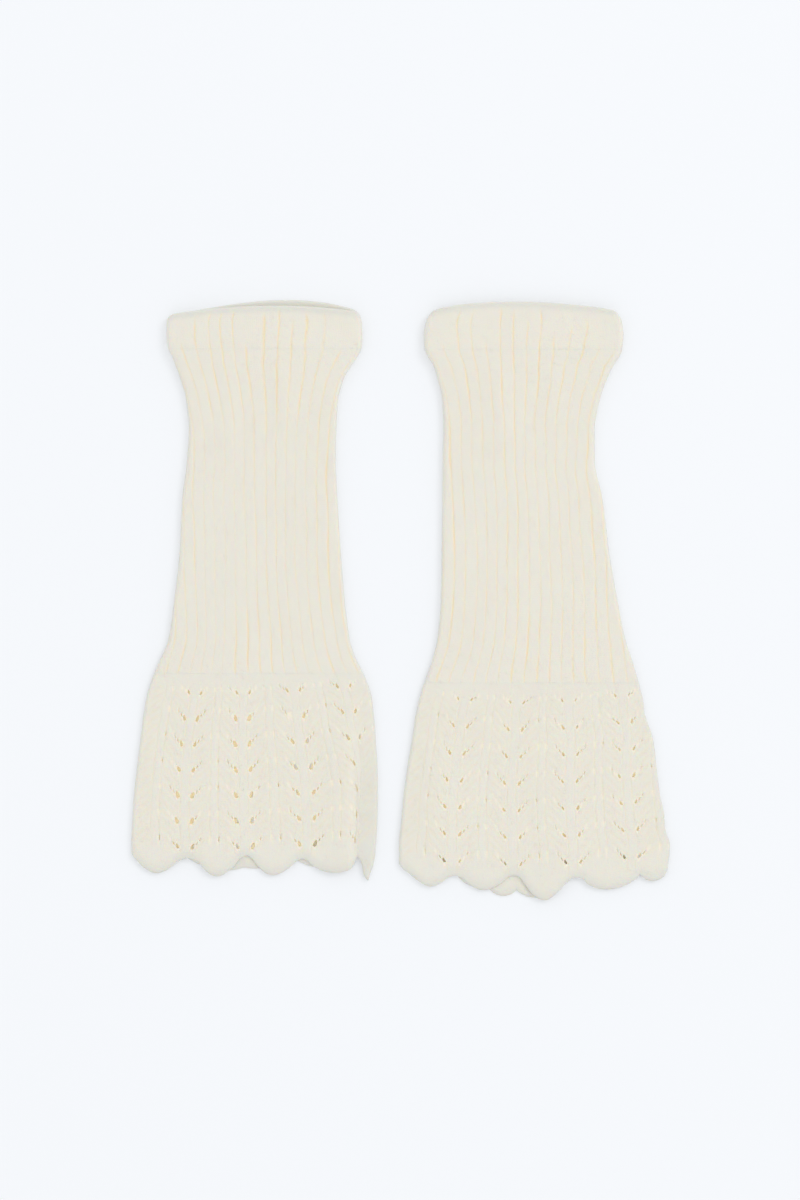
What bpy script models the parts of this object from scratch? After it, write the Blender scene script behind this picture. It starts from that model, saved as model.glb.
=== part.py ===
"""Pair of knitted leg warmers, laid flat side by side.

Each one is a tube: a doubled cuff, a leg in wide rib, and a flare of
pointelle lace with a scalloped hem. The front layer lies on the back
layer, and the back layer is flat where it rests.
"""

import math
from collections import namedtuple

import bmesh
import bpy

MM = 0.001

# The knit
RIBS = 36  # round the tube
REPEAT = 4  # ribs in one lace repeat
FIRST_POINT = 3.5  # rib at the middle of the first chevron
LACE_ROWS = 7
FRONT_RIBS = 18  # ribs that can show on the front

# The cloth, in millimetres
CUFF_WALL = 3.6
LEG_WALL = 2.5
LACE_WALL = 1.9
SEAM_GAP = 0.3
CUFF_CURVE = 0.8  # lower is squarer

# Rows down the cuff: share of its depth, and how far the face is rounded in
CUFF_ROWS = [(0.0, 1.4), (0.05, 0.4), (0.16, 0.0), (0.6, 0.0), (1.0, 0.1)]

# Rows down the ribbed leg, between its two ends, and those its inner face has
LEG_ROWS = [40.0, 48.0, 60.0, 78.0, 105.0, 150.0, 205.0, 245.0]
LEG_INNER_ROWS = [0, 2, 4, 6, 8, 9]

# Rib relief: a narrow groove on each whole rib number
GROOVE = 0.9
GROOVE_SHOULDER = 0.22  # of a rib
GATHER_GROOVE = 1.5  # under the cuff, where the rib is drawn in
GATHER_DOWN = 52.0
GATHER_SPREAD = 26.0
FOLD_FADE = 22.0  # length over which a fold rises and dies away

# Lace relief and eyelets
RIB_WIDE = 8.6
LACE_DIP = 0.55
LACE_DIP_REACH = (0.2, 0.6)  # of a rib, on each side of an eyelet
FIRST_STEEP = 0.5  # slope of the first row's arms, against the full slope
SECOND_STEEP = 0.85
LOBE_CURVE = 0.75  # lower is rounder
EYELET_NEAR = 0.34  # of a rib, from the chevron's middle
EYELET_FAR = 0.70
EYELET_HIGH = 5.0
SPLIT = (-0.5, 17.5)  # ribs where the front and back lace panels meet
SIDE_COLUMNS = (0.9, 16.9, 18.1)  # extra columns that round the folded sides
LOBE_COLUMN = 1.35  # ribs from the chevron's middle, to round the front's lobes

# Cloth colour
CREAM = (0.80, 0.765, 0.675, 1.0)
KNIT_ROUGHNESS = 0.9

# One row for each cross-section of a leg, in millimetres. "down" runs from
# the top of the cuff, "left" and "right" from the leg's own line, "high" is
# the height of both layers, and "first" and "last" are the ribs at its folds.
Section = namedtuple("Section", "down left right high first last")

LEFT_SECTIONS = [
    Section(8.0, 64.0, 68.0, 8.2, 1.4, 16.9),
    Section(14.7, 66.5, 70.0, 8.2, 1.4, 16.9),
    Section(25.0, 66.8, 70.4, 8.2, 1.4, 16.9),
    Section(32.9, 65.7, 70.0, 8.2, 1.4, 16.9),
    Section(38.5, 63.1, 67.6, 7.8, 1.4, 16.9),
    Section(45.5, 60.4, 62.6, 7.2, 1.4, 16.9),
    Section(55.3, 56.8, 57.2, 6.6, 1.4, 16.9),
    Section(69.3, 53.0, 53.6, 6.2, 1.4, 16.9),
    Section(90.3, 51.0, 52.2, 6.0, 1.4, 16.9),
    Section(111.3, 52.3, 51.8, 6.0, 1.4, 16.9),
    Section(139.3, 55.7, 53.0, 6.0, 1.4, 17.0),
    Section(174.3, 57.4, 55.2, 6.0, 1.0, 17.2),
    Section(209.3, 61.3, 58.0, 6.0, 0.6, 17.4),
    Section(237.3, 65.5, 61.6, 5.8, 0.3, 17.7),
    Section(251.3, 71.4, 66.4, 5.5, 0.1, 17.8),
    Section(265.3, 77.2, 73.2, 5.1, 0.0, 17.8),
    Section(279.3, 81.2, 77.3, 4.7, 0.0, 17.6),
    Section(307.3, 85.0, 79.8, 4.6, 0.0, 17.7),
    Section(335.3, 88.4, 81.2, 4.6, 0.0, 17.8),
    Section(363.3, 90.7, 80.9, 4.6, -0.1, 17.8),
    Section(384.3, 91.4, 79.6, 4.6, -0.2, 17.8),
    Section(394.0, 90.6, 78.2, 4.6, -0.2, 17.8),
    Section(403.0, 90.0, 75.4, 4.6, -0.2, 17.8),
]

RIGHT_SECTIONS = [
    Section(6.0, 65.4, 64.8, 8.2, 1.2, 16.0),
    Section(14.0, 68.8, 68.3, 8.2, 1.2, 16.0),
    Section(23.1, 70.2, 69.4, 8.2, 1.2, 16.0),
    Section(32.2, 70.0, 68.8, 8.2, 1.2, 16.0),
    Section(37.8, 67.9, 67.2, 7.8, 1.2, 16.0),
    Section(44.8, 63.7, 62.6, 7.2, 1.2, 16.1),
    Section(54.6, 60.6, 57.9, 6.6, 1.2, 16.2),
    Section(68.6, 57.5, 53.0, 6.2, 1.1, 16.4),
    Section(89.6, 56.5, 49.4, 6.0, 1.0, 16.6),
    Section(110.6, 57.1, 49.4, 6.0, 0.9, 16.6),
    Section(138.6, 57.2, 55.0, 6.0, 0.8, 16.7),
    Section(173.6, 57.6, 59.4, 6.0, 0.6, 17.0),
    Section(208.6, 58.3, 65.3, 6.0, 0.5, 17.3),
    Section(236.6, 60.9, 71.0, 5.8, 0.4, 17.5),
    Section(250.6, 64.4, 75.6, 5.5, 0.3, 17.5),
    Section(264.6, 69.4, 79.8, 5.1, 0.1, 17.4),
    Section(278.6, 73.8, 83.2, 4.7, 0.0, 17.3),
    Section(289.0, 76.0, 84.8, 4.6, 0.0, 17.3),
    Section(306.6, 78.6, 90.4, 4.6, -0.1, 17.4),
    Section(330.0, 82.4, 93.2, 4.6, -0.2, 17.6),
    Section(347.0, 84.6, 95.5, 4.6, -0.2, 17.7),
    Section(358.0, 85.6, 98.0, 4.6, -0.2, 17.8),
    Section(368.0, 86.6, 98.6, 4.6, -0.2, 17.8),
    Section(379.0, 87.6, 101.2, 4.6, -0.1, 17.8),
    Section(400.0, 87.4, 100.2, 4.6, -0.1, 17.7),
    Section(418.0, 87.0, 98.0, 4.6, -0.1, 17.7),
]

# One row for each scallop of a hem: the rib at its notch, how far down the
# notch and the lobe after it reach, and how far the lace rows over the notch
# are raised. The folded sides have notches too, where the hem turns up.
Scallop = namedtuple("Scallop", "rib notch lobe raised")

LEFT_HEM = [
    Scallop(-0.3, 385.5, 400.4, 2.0),
    Scallop(3.8, 389.9, 401.3, -0.6),
    Scallop(7.95, 387.1, 400.4, 0.0),
    Scallop(11.65, 389.2, 399.0, 1.8),
    Scallop(16.2, 387.5, 406.0, 4.8),
    Scallop(18.6, 386.5, 388.5, 5.0),
    Scallop(20.2, 386.5, 396.0, 4.5),
    Scallop(24.1, 386.5, 396.0, 2.0),
    Scallop(27.4, 396.0, 397.5, 0.0),
    Scallop(32.1, 386.5, 398.0, 0.0),
]

RIGHT_HEM = [
    Scallop(-0.3, 394.5, 409.8, 5.5),
    Scallop(3.55, 399.5, 411.2, 2.5),
    Scallop(7.5, 400.5, 418.2, 0.0),
    Scallop(11.65, 402.4, 411.0, 1.8),
    Scallop(15.55, 400.2, 405.8, 5.8),
    Scallop(17.9, 396.0, 400.0, 6.0),
    Scallop(19.9, 396.5, 407.0, 5.5),
    Scallop(23.9, 398.5, 416.0, 3.0),
    Scallop(27.85, 411.3, 415.4, 1.0),
    Scallop(30.1, 406.0, 408.0, 1.5),
    Scallop(32.2, 396.5, 407.0, 2.5),
]

# One row for each fold that lifts the front layer: its place across, where
# it starts and ends, its reach to the left and right, and its height.
Fold = namedtuple("Fold", "across start end left right high")

LEFT_FOLDS = [
    Fold(60.0, 296.0, 430.0, 16.0, 4.5, 2.7),
    Fold(-22.0, 34.0, 118.0, 9.0, 6.0, 1.1),
    Fold(14.0, 34.0, 100.0, 6.0, 9.0, 1.3),
    Fold(-40.0, 270.0, 420.0, 18.0, 22.0, 0.8),
]

RIGHT_FOLDS = [
    Fold(-16.0, 34.0, 112.0, 8.0, 7.0, 1.3),
    Fold(20.0, 34.0, 96.0, 7.0, 9.0, 1.1),
    Fold(24.0, 300.0, 435.0, 20.0, 18.0, 1.6),
    Fold(-62.0, 290.0, 400.0, 10.0, 14.0, 1.2),
]

# A crease that hides part of the ribs from first to last: how far down it
# starts, and the share of those ribs' width that still shows.
Tuck = namedtuple("Tuck", "start first last keep")
TUCK_FADE = 55.0

# How far a cuff's edge rises between its corners, and where it is highest
Hump = namedtuple("Hump", "high at")

# A leg warmer: its place, its edges and its tables, in millimetres.
Leg = namedtuple(
    "Leg",
    "name across top corner_left corner_right front_hump back_hump cuff_end "
    "lace_start first_row row_pitch rise tuck sections hem folds",
)

LEFT = Leg(
    name="left",
    across=-96.6,
    top=209.3,
    corner_left=11.0,
    corner_right=9.8,
    front_hump=Hump(6.0, 0.52),
    back_hump=Hump(10.3, 0.6),
    cuff_end=34.0,
    lace_start=260.5,
    first_row=277.0,
    row_pitch=17.9,
    rise=7.4,
    tuck=Tuck(290.0, 15.2, 16.5, 0.25),
    sections=LEFT_SECTIONS,
    hem=LEFT_HEM,
    folds=LEFT_FOLDS,
)

RIGHT = Leg(
    name="right",
    across=86.8,
    top=208.6,
    corner_left=8.8,
    corner_right=7.6,
    front_hump=Hump(8.2, 0.44),
    back_hump=Hump(6.0, 0.5),
    cuff_end=33.6,
    lace_start=266.5,
    first_row=283.7,
    row_pitch=18.8,
    rise=7.9,
    tuck=Tuck(290.0, 15.2, 16.5, 1.0),
    sections=RIGHT_SECTIONS,
    hem=RIGHT_HEM,
    folds=RIGHT_FOLDS,
)


def ease(value, start, end):
    """Smooth step from 0 at start to 1 at end."""
    share = min(max((value - start) / (end - start), 0.0), 1.0)
    return share * share * (3.0 - 2.0 * share)


def column_at(rows, column, down):
    """A column's value at a distance down, on a smooth curve through the rows."""
    places = [row.down for row in rows]
    values = [getattr(row, column) for row in rows]
    down = min(max(down, places[0]), places[-1])
    steps = [(values[i + 1] - values[i]) / (places[i + 1] - places[i]) for i in range(len(rows) - 1)]
    slopes = [0.0] * len(rows)
    for i in range(1, len(rows) - 1):
        if steps[i - 1] * steps[i] > 0:
            slopes[i] = 2.0 * steps[i - 1] * steps[i] / (steps[i - 1] + steps[i])
    i = max(n for n in range(len(rows) - 1) if places[n] <= down)
    span = places[i + 1] - places[i]
    t = (down - places[i]) / span
    start = values[i] * (1 + 2 * t) * (1 - t) ** 2 + slopes[i] * span * t * (1 - t) ** 2
    end = values[i + 1] * t * t * (3 - 2 * t) + slopes[i + 1] * span * t * t * (t - 1)
    return start + end


def shows(leg, down, rib):
    """Ribs that show up to this one, less what the crease hides."""
    tuck = leg.tuck
    hidden = (1.0 - tuck.keep) * ease(down, tuck.start, tuck.start + TUCK_FADE)
    return rib - hidden * min(max(rib - tuck.first, 0.0), tuck.last - tuck.first)


def round_the_tube(leg, down, rib):
    """Share of the way across from the left fold, and whether it is on the front."""
    first = column_at(leg.sections, "first", down)
    last = column_at(leg.sections, "last", down)
    turn = (rib - first) % RIBS
    if turn > last - first:
        return (RIBS - turn) / (RIBS - last + first), False
    start, end = shows(leg, down, first), shows(leg, down, last)
    return (shows(leg, down, first + turn) - start) / (end - start), True


def lift(leg, down, across):
    """Height of the folds that raise the front layer."""
    high = 0.0
    for fold in leg.folds:
        reach = fold.left if across < fold.across else fold.right
        rise = ease(down, fold.start, fold.start + FOLD_FADE)
        fall = 1.0 - ease(down, fold.end - FOLD_FADE, fold.end)
        high += fold.high * rise * fall * math.exp(-(((across - fold.across) / reach) ** 2))
    return high


def place(leg, down, rib, depth):
    """Point on the cloth: down the leg, round it by rib, and depth under its outer face."""
    left = column_at(leg.sections, "left", down)
    right = column_at(leg.sections, "right", down)
    radius = column_at(leg.sections, "high", down) / 2
    share, front = round_the_tube(leg, down, rib)
    quarter = radius * math.pi / 2
    straight = left + right - 2 * radius
    run = share * (straight + 2 * quarter)
    if run < quarter:
        angle = run / radius
        across = radius - left
        aside, up = -math.cos(angle), math.sin(angle)
    elif run < quarter + straight:
        across = radius - left + run - quarter
        aside, up = 0.0, 1.0
    else:
        angle = (run - quarter - straight) / radius
        across = right - radius
        aside, up = math.sin(angle), math.cos(angle)
    across += (radius - depth) * aside
    height = (radius - depth) * up
    if not front:
        return (leg.across + across) * MM, (leg.top - down) * MM, (radius - height) * MM
    raised = lift(leg, down, across) * ease(up, 0.0, 1.0)
    return (leg.across + across) * MM, (leg.top - down) * MM, (radius + height + raised) * MM


def shown(leg, down, rib):
    """Share of the relief here: all of it on the front, and none on the flat underside."""
    share, front = round_the_tube(leg, down, rib)
    edge = min(share, 1.0 - share) * FRONT_RIBS
    return ease(edge, -0.2, 0.8) if front else 0.0


def rib_depth(leg, down, rib):
    """Depth of the rib's groove at a point."""
    off = abs(rib - round(rib))
    gather = math.exp(-(((down - GATHER_DOWN) / GATHER_SPREAD) ** 2))
    uneven = 0.75 + 0.25 * math.cos(2.4 * round(rib) + 0.6)
    groove = GROOVE + (GATHER_GROOVE - GROOVE) * gather * uneven
    return groove * max(0.0, 1.0 - off / GROOVE_SHOULDER) * shown(leg, down, rib)


def cuff_top(leg, rib):
    """Distance down of the cuff's top edge, which rises between its two corners."""
    share, front = round_the_tube(leg, leg.sections[0].down, rib)
    corner = leg.corner_left + (leg.corner_right - leg.corner_left) * share
    hump = leg.front_hump if front else leg.back_hump
    skewed = share ** (math.log(0.5) / math.log(hump.at))
    return corner - hump.high * math.sin(math.pi * skewed) ** CUFF_CURVE


def scallop_at(leg, rib):
    """Scallop a rib is in, the one after it, and the share of the way between them."""
    rib = (rib - leg.hem[0].rib) % RIBS + leg.hem[0].rib
    here = max(n for n, scallop in enumerate(leg.hem) if scallop.rib <= rib)
    scallop = leg.hem[here]
    following = leg.hem[(here + 1) % len(leg.hem)]
    return scallop, following, (rib - scallop.rib) / ((following.rib - scallop.rib) % RIBS)


def hem_down(leg, rib):
    """Distance down of the scalloped hem."""
    scallop, following, share = scallop_at(leg, rib)
    notch = scallop.notch + (following.notch - scallop.notch) * share
    lobe = scallop.lobe - (scallop.notch + following.notch) / 2
    return notch + lobe * math.sin(math.pi * share) ** LOBE_CURVE


def from_point(rib):
    """Ribs between here and the middle of the nearest chevron, 0 to 2."""
    turn = (rib - FIRST_POINT) % REPEAT
    return min(turn, REPEAT - turn)


def lace_down(leg, row, rib):
    """Distance down of a lace row, whose arms rise from the chevron's middle."""
    steep = FIRST_STEEP
    steep += (SECOND_STEEP - FIRST_STEEP) * min(max(row, 0.0), 1.0)
    steep += (1.0 - SECOND_STEEP) * min(max(row - 1.0, 0.0), 1.0)
    scallop, following, share = scallop_at(leg, rib)
    raised = scallop.raised + (following.raised - scallop.raised) * ease(share, 0.0, 1.0)
    return leg.first_row + row * leg.row_pitch - steep * leg.rise * from_point(rib) - raised


def wall(name, rows, columns, point, kept_rows, holes, closed):
    """Closed wall of cloth.

    The outer face has every row and column. The plain inner face has only
    the kept rows, and the columns marked as kept. Each hole leaves out one
    cell of the inner face and all of the outer face over it.
    """
    mesh = bmesh.new()
    outer = [[mesh.verts.new(point(row, rib, False)) for rib, _ in columns] for row in rows]
    kept_columns = [j for j, column in enumerate(columns) if column[1]]
    inner = {}
    for i in kept_rows:
        for j in kept_columns:
            inner[i, j] = mesh.verts.new(point(rows[i], columns[j][0], True))
    down_spans = list(zip(kept_rows[:-1], kept_rows[1:]))
    round_spans = list(zip(kept_columns[:-1], kept_columns[1:]))
    if closed:
        round_spans.append((kept_columns[-1], kept_columns[0] + len(columns)))
    count = len(columns)

    def solid(a, b):
        if closed:
            b %= len(round_spans)
        inside = 0 <= a < len(down_spans) and 0 <= b < len(round_spans)
        return inside and (a, b) not in holes

    def rim(steps):
        edge = [outer[i][j % count] for i, j in steps]
        (i0, j0), (i1, j1) = steps[0], steps[-1]
        mesh.faces.new(edge + [inner[i1, j1 % count], inner[i0, j0 % count]])

    for a, (i0, i1) in enumerate(down_spans):
        for b, (j0, j1) in enumerate(round_spans):
            if not solid(a, b):
                continue
            for i in range(i0, i1):
                for j in range(j0, j1):
                    near, far = j % count, (j + 1) % count
                    mesh.faces.new((outer[i][near], outer[i + 1][near], outer[i + 1][far], outer[i][far]))
            near, far = j0 % count, j1 % count
            mesh.faces.new((inner[i0, near], inner[i0, far], inner[i1, far], inner[i1, near]))
            if not solid(a - 1, b):
                rim([(i0, j) for j in range(j0, j1 + 1)])
            if not solid(a + 1, b):
                rim([(i1, j) for j in range(j1, j0 - 1, -1)])
            if not solid(a, b - 1):
                rim([(i, j0) for i in range(i1, i0 - 1, -1)])
            if not solid(a, b + 1):
                rim([(i, j1) for i in range(i0, i1 + 1)])
    bmesh.ops.recalc_face_normals(mesh, faces=mesh.faces)
    data = bpy.data.meshes.new(name)
    mesh.to_mesh(data)
    mesh.free()
    return data


def rib_columns():
    """Columns round a ribbed tube: three a rib on the front, one a rib underneath."""
    columns = []
    for rib in range(RIBS):
        columns.append((rib, True))
        if rib < FRONT_RIBS:
            columns.append((rib + GROOVE_SHOULDER, False))
            columns.append((rib + 1 - GROOVE_SHOULDER, False))
    return columns


def cuff(leg):
    """Doubled cuff, with its edges rounded over."""

    def point(row, rib, inside):
        share, rounded = row
        start = cuff_top(leg, rib)
        down = start + (leg.cuff_end - start) * share
        if inside:
            return place(leg, down, rib, CUFF_WALL)
        rounded *= 0.5 + 0.5 * shown(leg, down, rib)
        return place(leg, down, rib, rounded + rib_depth(leg, down, rib))

    kept_rows = [0, len(CUFF_ROWS) - 1]
    return wall(f"{leg.name}_cuff", CUFF_ROWS, rib_columns(), point, kept_rows, set(), True)


def rib_leg(leg):
    """Single wall of wide rib, drawn in under the cuff and widening to the lace."""
    downs = [leg.cuff_end + SEAM_GAP, *LEG_ROWS, leg.lace_start]

    def point(down, rib, inside):
        if inside:
            return place(leg, down, rib, LEG_WALL)
        return place(leg, down, rib, rib_depth(leg, down, rib))

    return wall(f"{leg.name}_rib_leg", downs, rib_columns(), point, LEG_INNER_ROWS, set(), True)


def lace_columns(side, start, end):
    """Columns of a lace panel: chevron middles, both sides of each eyelet, and spines."""
    ribs = {start, end}
    offsets = [0.0, EYELET_NEAR, EYELET_FAR, REPEAT / 2]
    if side == "front":
        offsets.append(LOBE_COLUMN)
    for point in range(-1, RIBS // REPEAT + 1):
        middle = FIRST_POINT + point * REPEAT
        for off in offsets:
            ribs.add(round(middle - off, 3))
            ribs.add(round(middle + off, 3))
    ribs.update(SIDE_COLUMNS)
    return sorted(rib for rib in ribs if start <= rib <= end)


def lace_panel(leg, side, start, end):
    """Front or back of the flare, with an eyelet cut on each arm of each chevron."""
    half = EYELET_HIGH / 2 / leg.row_pitch
    rows = ["top"]
    for row in range(LACE_ROWS):
        rows += [row - half, row + half, row + 0.5]
    rows[-1:] = ["above hem", "hem"]
    kept_rows = [i for i, row in enumerate(rows) if isinstance(row, str) or abs(row % 1 - 0.5) > 0.1]
    gap = SEAM_GAP / 2 / RIB_WIDE
    columns = []
    for rib in lace_columns(side, start, end):
        kept = abs(from_point(rib) - LOBE_COLUMN) > 0.01
        columns.append((min(max(rib, start + gap), end - gap), kept))
    ribs = [rib for rib, kept in columns if kept]
    last_line = LACE_ROWS - 1 + half

    def point(row, rib, inside):
        if row == "top":
            down = leg.lace_start + SEAM_GAP
        elif row == "hem":
            down = hem_down(leg, rib)
        elif row == "above hem":
            down = 0.45 * lace_down(leg, last_line, rib) + 0.55 * hem_down(leg, rib)
        else:
            down = lace_down(leg, row, rib)
        if inside:
            return place(leg, down, rib, LACE_WALL)
        near = abs(from_point(rib) - (EYELET_NEAR + EYELET_FAR) / 2)
        dip = 1.0 - ease(near, *LACE_DIP_REACH)
        if row == "hem":
            dip = 1.0
        elif isinstance(row, str) or abs(row % 1 - 0.5) < 0.1:
            dip = 0.0
        return place(leg, down, rib, LACE_DIP * dip * shown(leg, down, rib))

    holes = set()
    for a, i in enumerate(kept_rows[:-1]):
        if isinstance(rows[i], str) or rows[i] % 1 < 0.5:
            continue
        for b, (rib, following) in enumerate(zip(ribs[:-1], ribs[1:])):
            middle = from_point((rib + following) / 2)
            if EYELET_NEAR < middle < EYELET_FAR:
                holes.add((a, b))
    return wall(f"{leg.name}_lace_{side}", rows, columns, point, kept_rows, holes, False)


def knit_material(name):
    """Cream wool."""
    material = bpy.data.materials.new(name)
    material.use_nodes = True
    shader = material.node_tree.nodes["Principled BSDF"]
    shader.inputs["Base Color"].default_value = CREAM
    shader.inputs["Roughness"].default_value = KNIT_ROUGHNESS
    shader.inputs["Metallic"].default_value = 0.0
    return material


def centred(meshes):
    """Move the meshes so that the middle of the pair's box is at the origin."""
    points = [vertex.co for mesh in meshes for vertex in mesh.vertices]
    middle = [(min(p[n] for p in points) + max(p[n] for p in points)) / 2 for n in (0, 1)]
    for point in points:
        point.x -= middle[0]
        point.y -= middle[1]


def main():
    for thing in list(bpy.data.objects):
        bpy.data.objects.remove(thing)
    collection = bpy.data.collections.new("Leg warmers")
    bpy.context.scene.collection.children.link(collection)
    meshes = []
    for leg in (LEFT, RIGHT):
        meshes.append(cuff(leg))
        meshes.append(rib_leg(leg))
        meshes.append(lace_panel(leg, "front", SPLIT[0], SPLIT[1]))
        meshes.append(lace_panel(leg, "back", SPLIT[1], SPLIT[0] + RIBS))
    centred(meshes)
    for mesh in meshes:
        mesh.materials.append(knit_material(f"{mesh.name}_wool"))
        mesh.shade_smooth()
        mesh.set_sharp_from_angle(angle=math.radians(40))
        collection.objects.link(bpy.data.objects.new(mesh.name, mesh))


main()
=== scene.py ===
"""Looks of a pair of knitted leg warmers, laid flat side by side.

Each leg warmer is one knitted tube in three stretches: a doubled cuff, a leg
in wide rib, and a flare of pointelle lace with a scalloped hem. Every
stretch is a thin wall on the form of its solid, with its grooves, creases
and eyelets in the mesh and its stitches in the material.
"""

import math
from collections import namedtuple
from itertools import product

import bmesh
import bpy
import numpy as np
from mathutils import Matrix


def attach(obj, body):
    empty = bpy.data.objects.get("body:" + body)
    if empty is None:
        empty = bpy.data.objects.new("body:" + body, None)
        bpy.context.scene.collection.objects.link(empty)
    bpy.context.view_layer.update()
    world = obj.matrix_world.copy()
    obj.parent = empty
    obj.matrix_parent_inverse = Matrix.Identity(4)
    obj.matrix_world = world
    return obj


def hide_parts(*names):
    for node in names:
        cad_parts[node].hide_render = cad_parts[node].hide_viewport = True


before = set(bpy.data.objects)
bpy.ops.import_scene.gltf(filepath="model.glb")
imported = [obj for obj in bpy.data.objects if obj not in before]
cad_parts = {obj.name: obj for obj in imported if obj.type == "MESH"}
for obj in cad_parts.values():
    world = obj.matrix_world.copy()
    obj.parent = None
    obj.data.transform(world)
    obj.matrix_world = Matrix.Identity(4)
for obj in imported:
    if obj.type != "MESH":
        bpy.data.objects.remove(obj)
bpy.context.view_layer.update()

MM = 0.001
SEED = 7

# The knit, as in the solids
RIBS = 36
REPEAT = 4  # ribs in one lace repeat
FIRST_POINT = 3.5  # rib at the middle of the first chevron
LACE_ROWS = 7
WALES = 5  # columns of stitches in a rib
COURSE = 1.25  # millimetres of one row of stitches

# The cloth, in millimetres
CUFF_WALL = 3.4
LEG_WALL = 2.3
LACE_WALL = 1.8
CUFF_CURVE = 0.7  # lower is squarer
OVERLAP = 2.5  # a lower stretch goes this far up under the one above it
HEM_SINK = 0.9  # how far the front layer sinks at the hem


def table(kind, *rows):
    """Rows with the kind's names for their values."""
    return [kind(*row) for row in rows]


# One row for each cross-section of a leg, in millimetres. "down" runs from
# the top of the cuff, "left" and "right" from the leg's own line, "high" is
# the height of both layers, and "first" and "last" are the ribs at its folds.
Section = namedtuple("Section", "down left right high first last")

LEFT_SECTIONS = table(
    Section,
    (8, 64, 68, 8.2, 1.4, 16.9),
    (14.7, 66.5, 70, 8.2, 1.4, 16.9),
    (25, 66.8, 70.4, 8.2, 1.4, 16.9),
    (32.9, 65.7, 70, 8.2, 1.4, 16.9),
    (38.5, 63.1, 67.6, 7.8, 1.4, 16.9),
    (45.5, 60.4, 62.6, 7.2, 1.4, 16.9),
    (55.3, 56.8, 57.2, 6.6, 1.4, 16.9),
    (69.3, 53, 53.6, 6.2, 1.4, 16.9),
    (90.3, 51, 52.2, 6, 1.4, 16.9),
    (111.3, 52.3, 51.8, 6, 1.4, 16.9),
    (139.3, 55.7, 53, 6, 1.4, 17),
    (174.3, 57.4, 55.2, 6, 1, 17.2),
    (209.3, 61.3, 58, 6, 0.6, 17.4),
    (237.3, 65.5, 61.6, 5.8, 0.3, 17.7),
    (251.3, 71.4, 66.4, 5.5, 0.1, 17.8),
    (265.3, 77.2, 73.2, 5.1, 0, 17.8),
    (279.3, 81.2, 77.3, 4.7, 0, 17.6),
    (307.3, 85, 79.8, 4.6, 0, 17.7),
    (335.3, 88.4, 81.2, 4.6, 0, 17.8),
    (363.3, 90.7, 80.9, 4.6, -0.1, 17.8),
    (384.3, 91.4, 79.6, 4.6, -0.2, 17.8),
    (394, 90.6, 78.2, 4.6, -0.2, 17.8),
    (403, 90, 75.4, 4.6, -0.2, 17.8),
)

RIGHT_SECTIONS = table(
    Section,
    (6, 65.4, 64.8, 8.2, 1.2, 16),
    (14, 68.8, 68.3, 8.2, 1.2, 16),
    (23.1, 70.2, 69.4, 8.2, 1.2, 16),
    (32.2, 70, 68.8, 8.2, 1.2, 16),
    (37.8, 67.9, 67.2, 7.8, 1.2, 16),
    (44.8, 63.7, 62.6, 7.2, 1.2, 16.1),
    (54.6, 60.6, 57.9, 6.6, 1.2, 16.2),
    (68.6, 57.5, 53, 6.2, 1.1, 16.4),
    (89.6, 56.5, 49.4, 6, 1, 16.6),
    (110.6, 57.1, 49.4, 6, 0.9, 16.6),
    (138.6, 57.2, 55, 6, 0.8, 16.7),
    (173.6, 57.6, 59.4, 6, 0.6, 17),
    (208.6, 58.3, 65.3, 6, 0.5, 17.3),
    (236.6, 60.9, 71, 5.8, 0.4, 17.5),
    (250.6, 64.4, 75.6, 5.5, 0.3, 17.5),
    (264.6, 69.4, 79.8, 5.1, 0.1, 17.4),
    (278.6, 73.8, 83.2, 4.7, 0, 17.3),
    (289, 76, 84.8, 4.6, 0, 17.3),
    (306.6, 78.6, 90.4, 4.6, -0.1, 17.4),
    (330, 82.4, 93.2, 4.6, -0.2, 17.6),
    (347, 84.6, 95.5, 4.6, -0.2, 17.7),
    (358, 85.6, 98, 4.6, -0.2, 17.8),
    (368, 86.6, 98.6, 4.6, -0.2, 17.8),
    (380, 87.6, 102, 4.6, -0.1, 17.8),
    (400, 87.4, 100.2, 4.6, -0.1, 17.7),
    (418, 87, 98, 4.6, -0.1, 17.7),
)

# One row for each scallop of a hem and each rounded gap between two: the rib
# where it starts, how far down its notch there and the lobe after it reach, how
# far the lace rows over the notch are raised, and the lobe's curve, which is
# rounder where it is lower.
Scallop = namedtuple("Scallop", "rib notch lobe raised curve", defaults=(0.75,))

LEFT_HEM = table(
    Scallop,
    (-0.3, 384.5, 399.8, 2, 1),
    (2.95, 393.6, 389.8, 0, 1),
    (4.6, 393.6, 402.4, -0.6, 0.9),
    (7.3, 391.3, 387.9, -0.3, 1),
    (8.3, 390.8, 401.8, 0, 0.9),
    (11.3, 391.8, 390.4, 1.5, 1),
    (12.1, 391.6, 400, 1.8, 0.8),
    (16.35, 388.8, 405.5, 4.8, 1.9),
    (19, 386.5, 388.5, 5),
    (20.2, 386.5, 396, 4.5),
    (24.1, 386.5, 396, 2),
    (27.4, 396, 397.5, 0),
    (32.1, 386.5, 398, 0),
)

RIGHT_HEM = table(
    Scallop,
    (-0.3, 391, 396.8, 5.5, 1),
    (0.9, 401.5, 408.9, 4.8, 1),
    (3.2, 403, 401.4, 2.8, 1),
    (4.15, 403.2, 411.4, 2, 0.9),
    (7.1, 402.6, 401.2, 0.3, 1),
    (8, 403.2, 418.4, 0, 1),
    (11.1, 404.8, 402.8, 1.5, 1),
    (12.2, 404.4, 410.8, 1.9, 0.6),
    (15.75, 400.6, 405, 5.8, 0.9),
    (17.9, 396, 400, 6),
    (19.9, 396.5, 407, 5.5),
    (23.9, 398.5, 416, 3),
    (27.85, 411.3, 415.4, 1),
    (30.1, 406, 408, 1.5),
    (32.2, 396.5, 407, 2.5),
)

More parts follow.
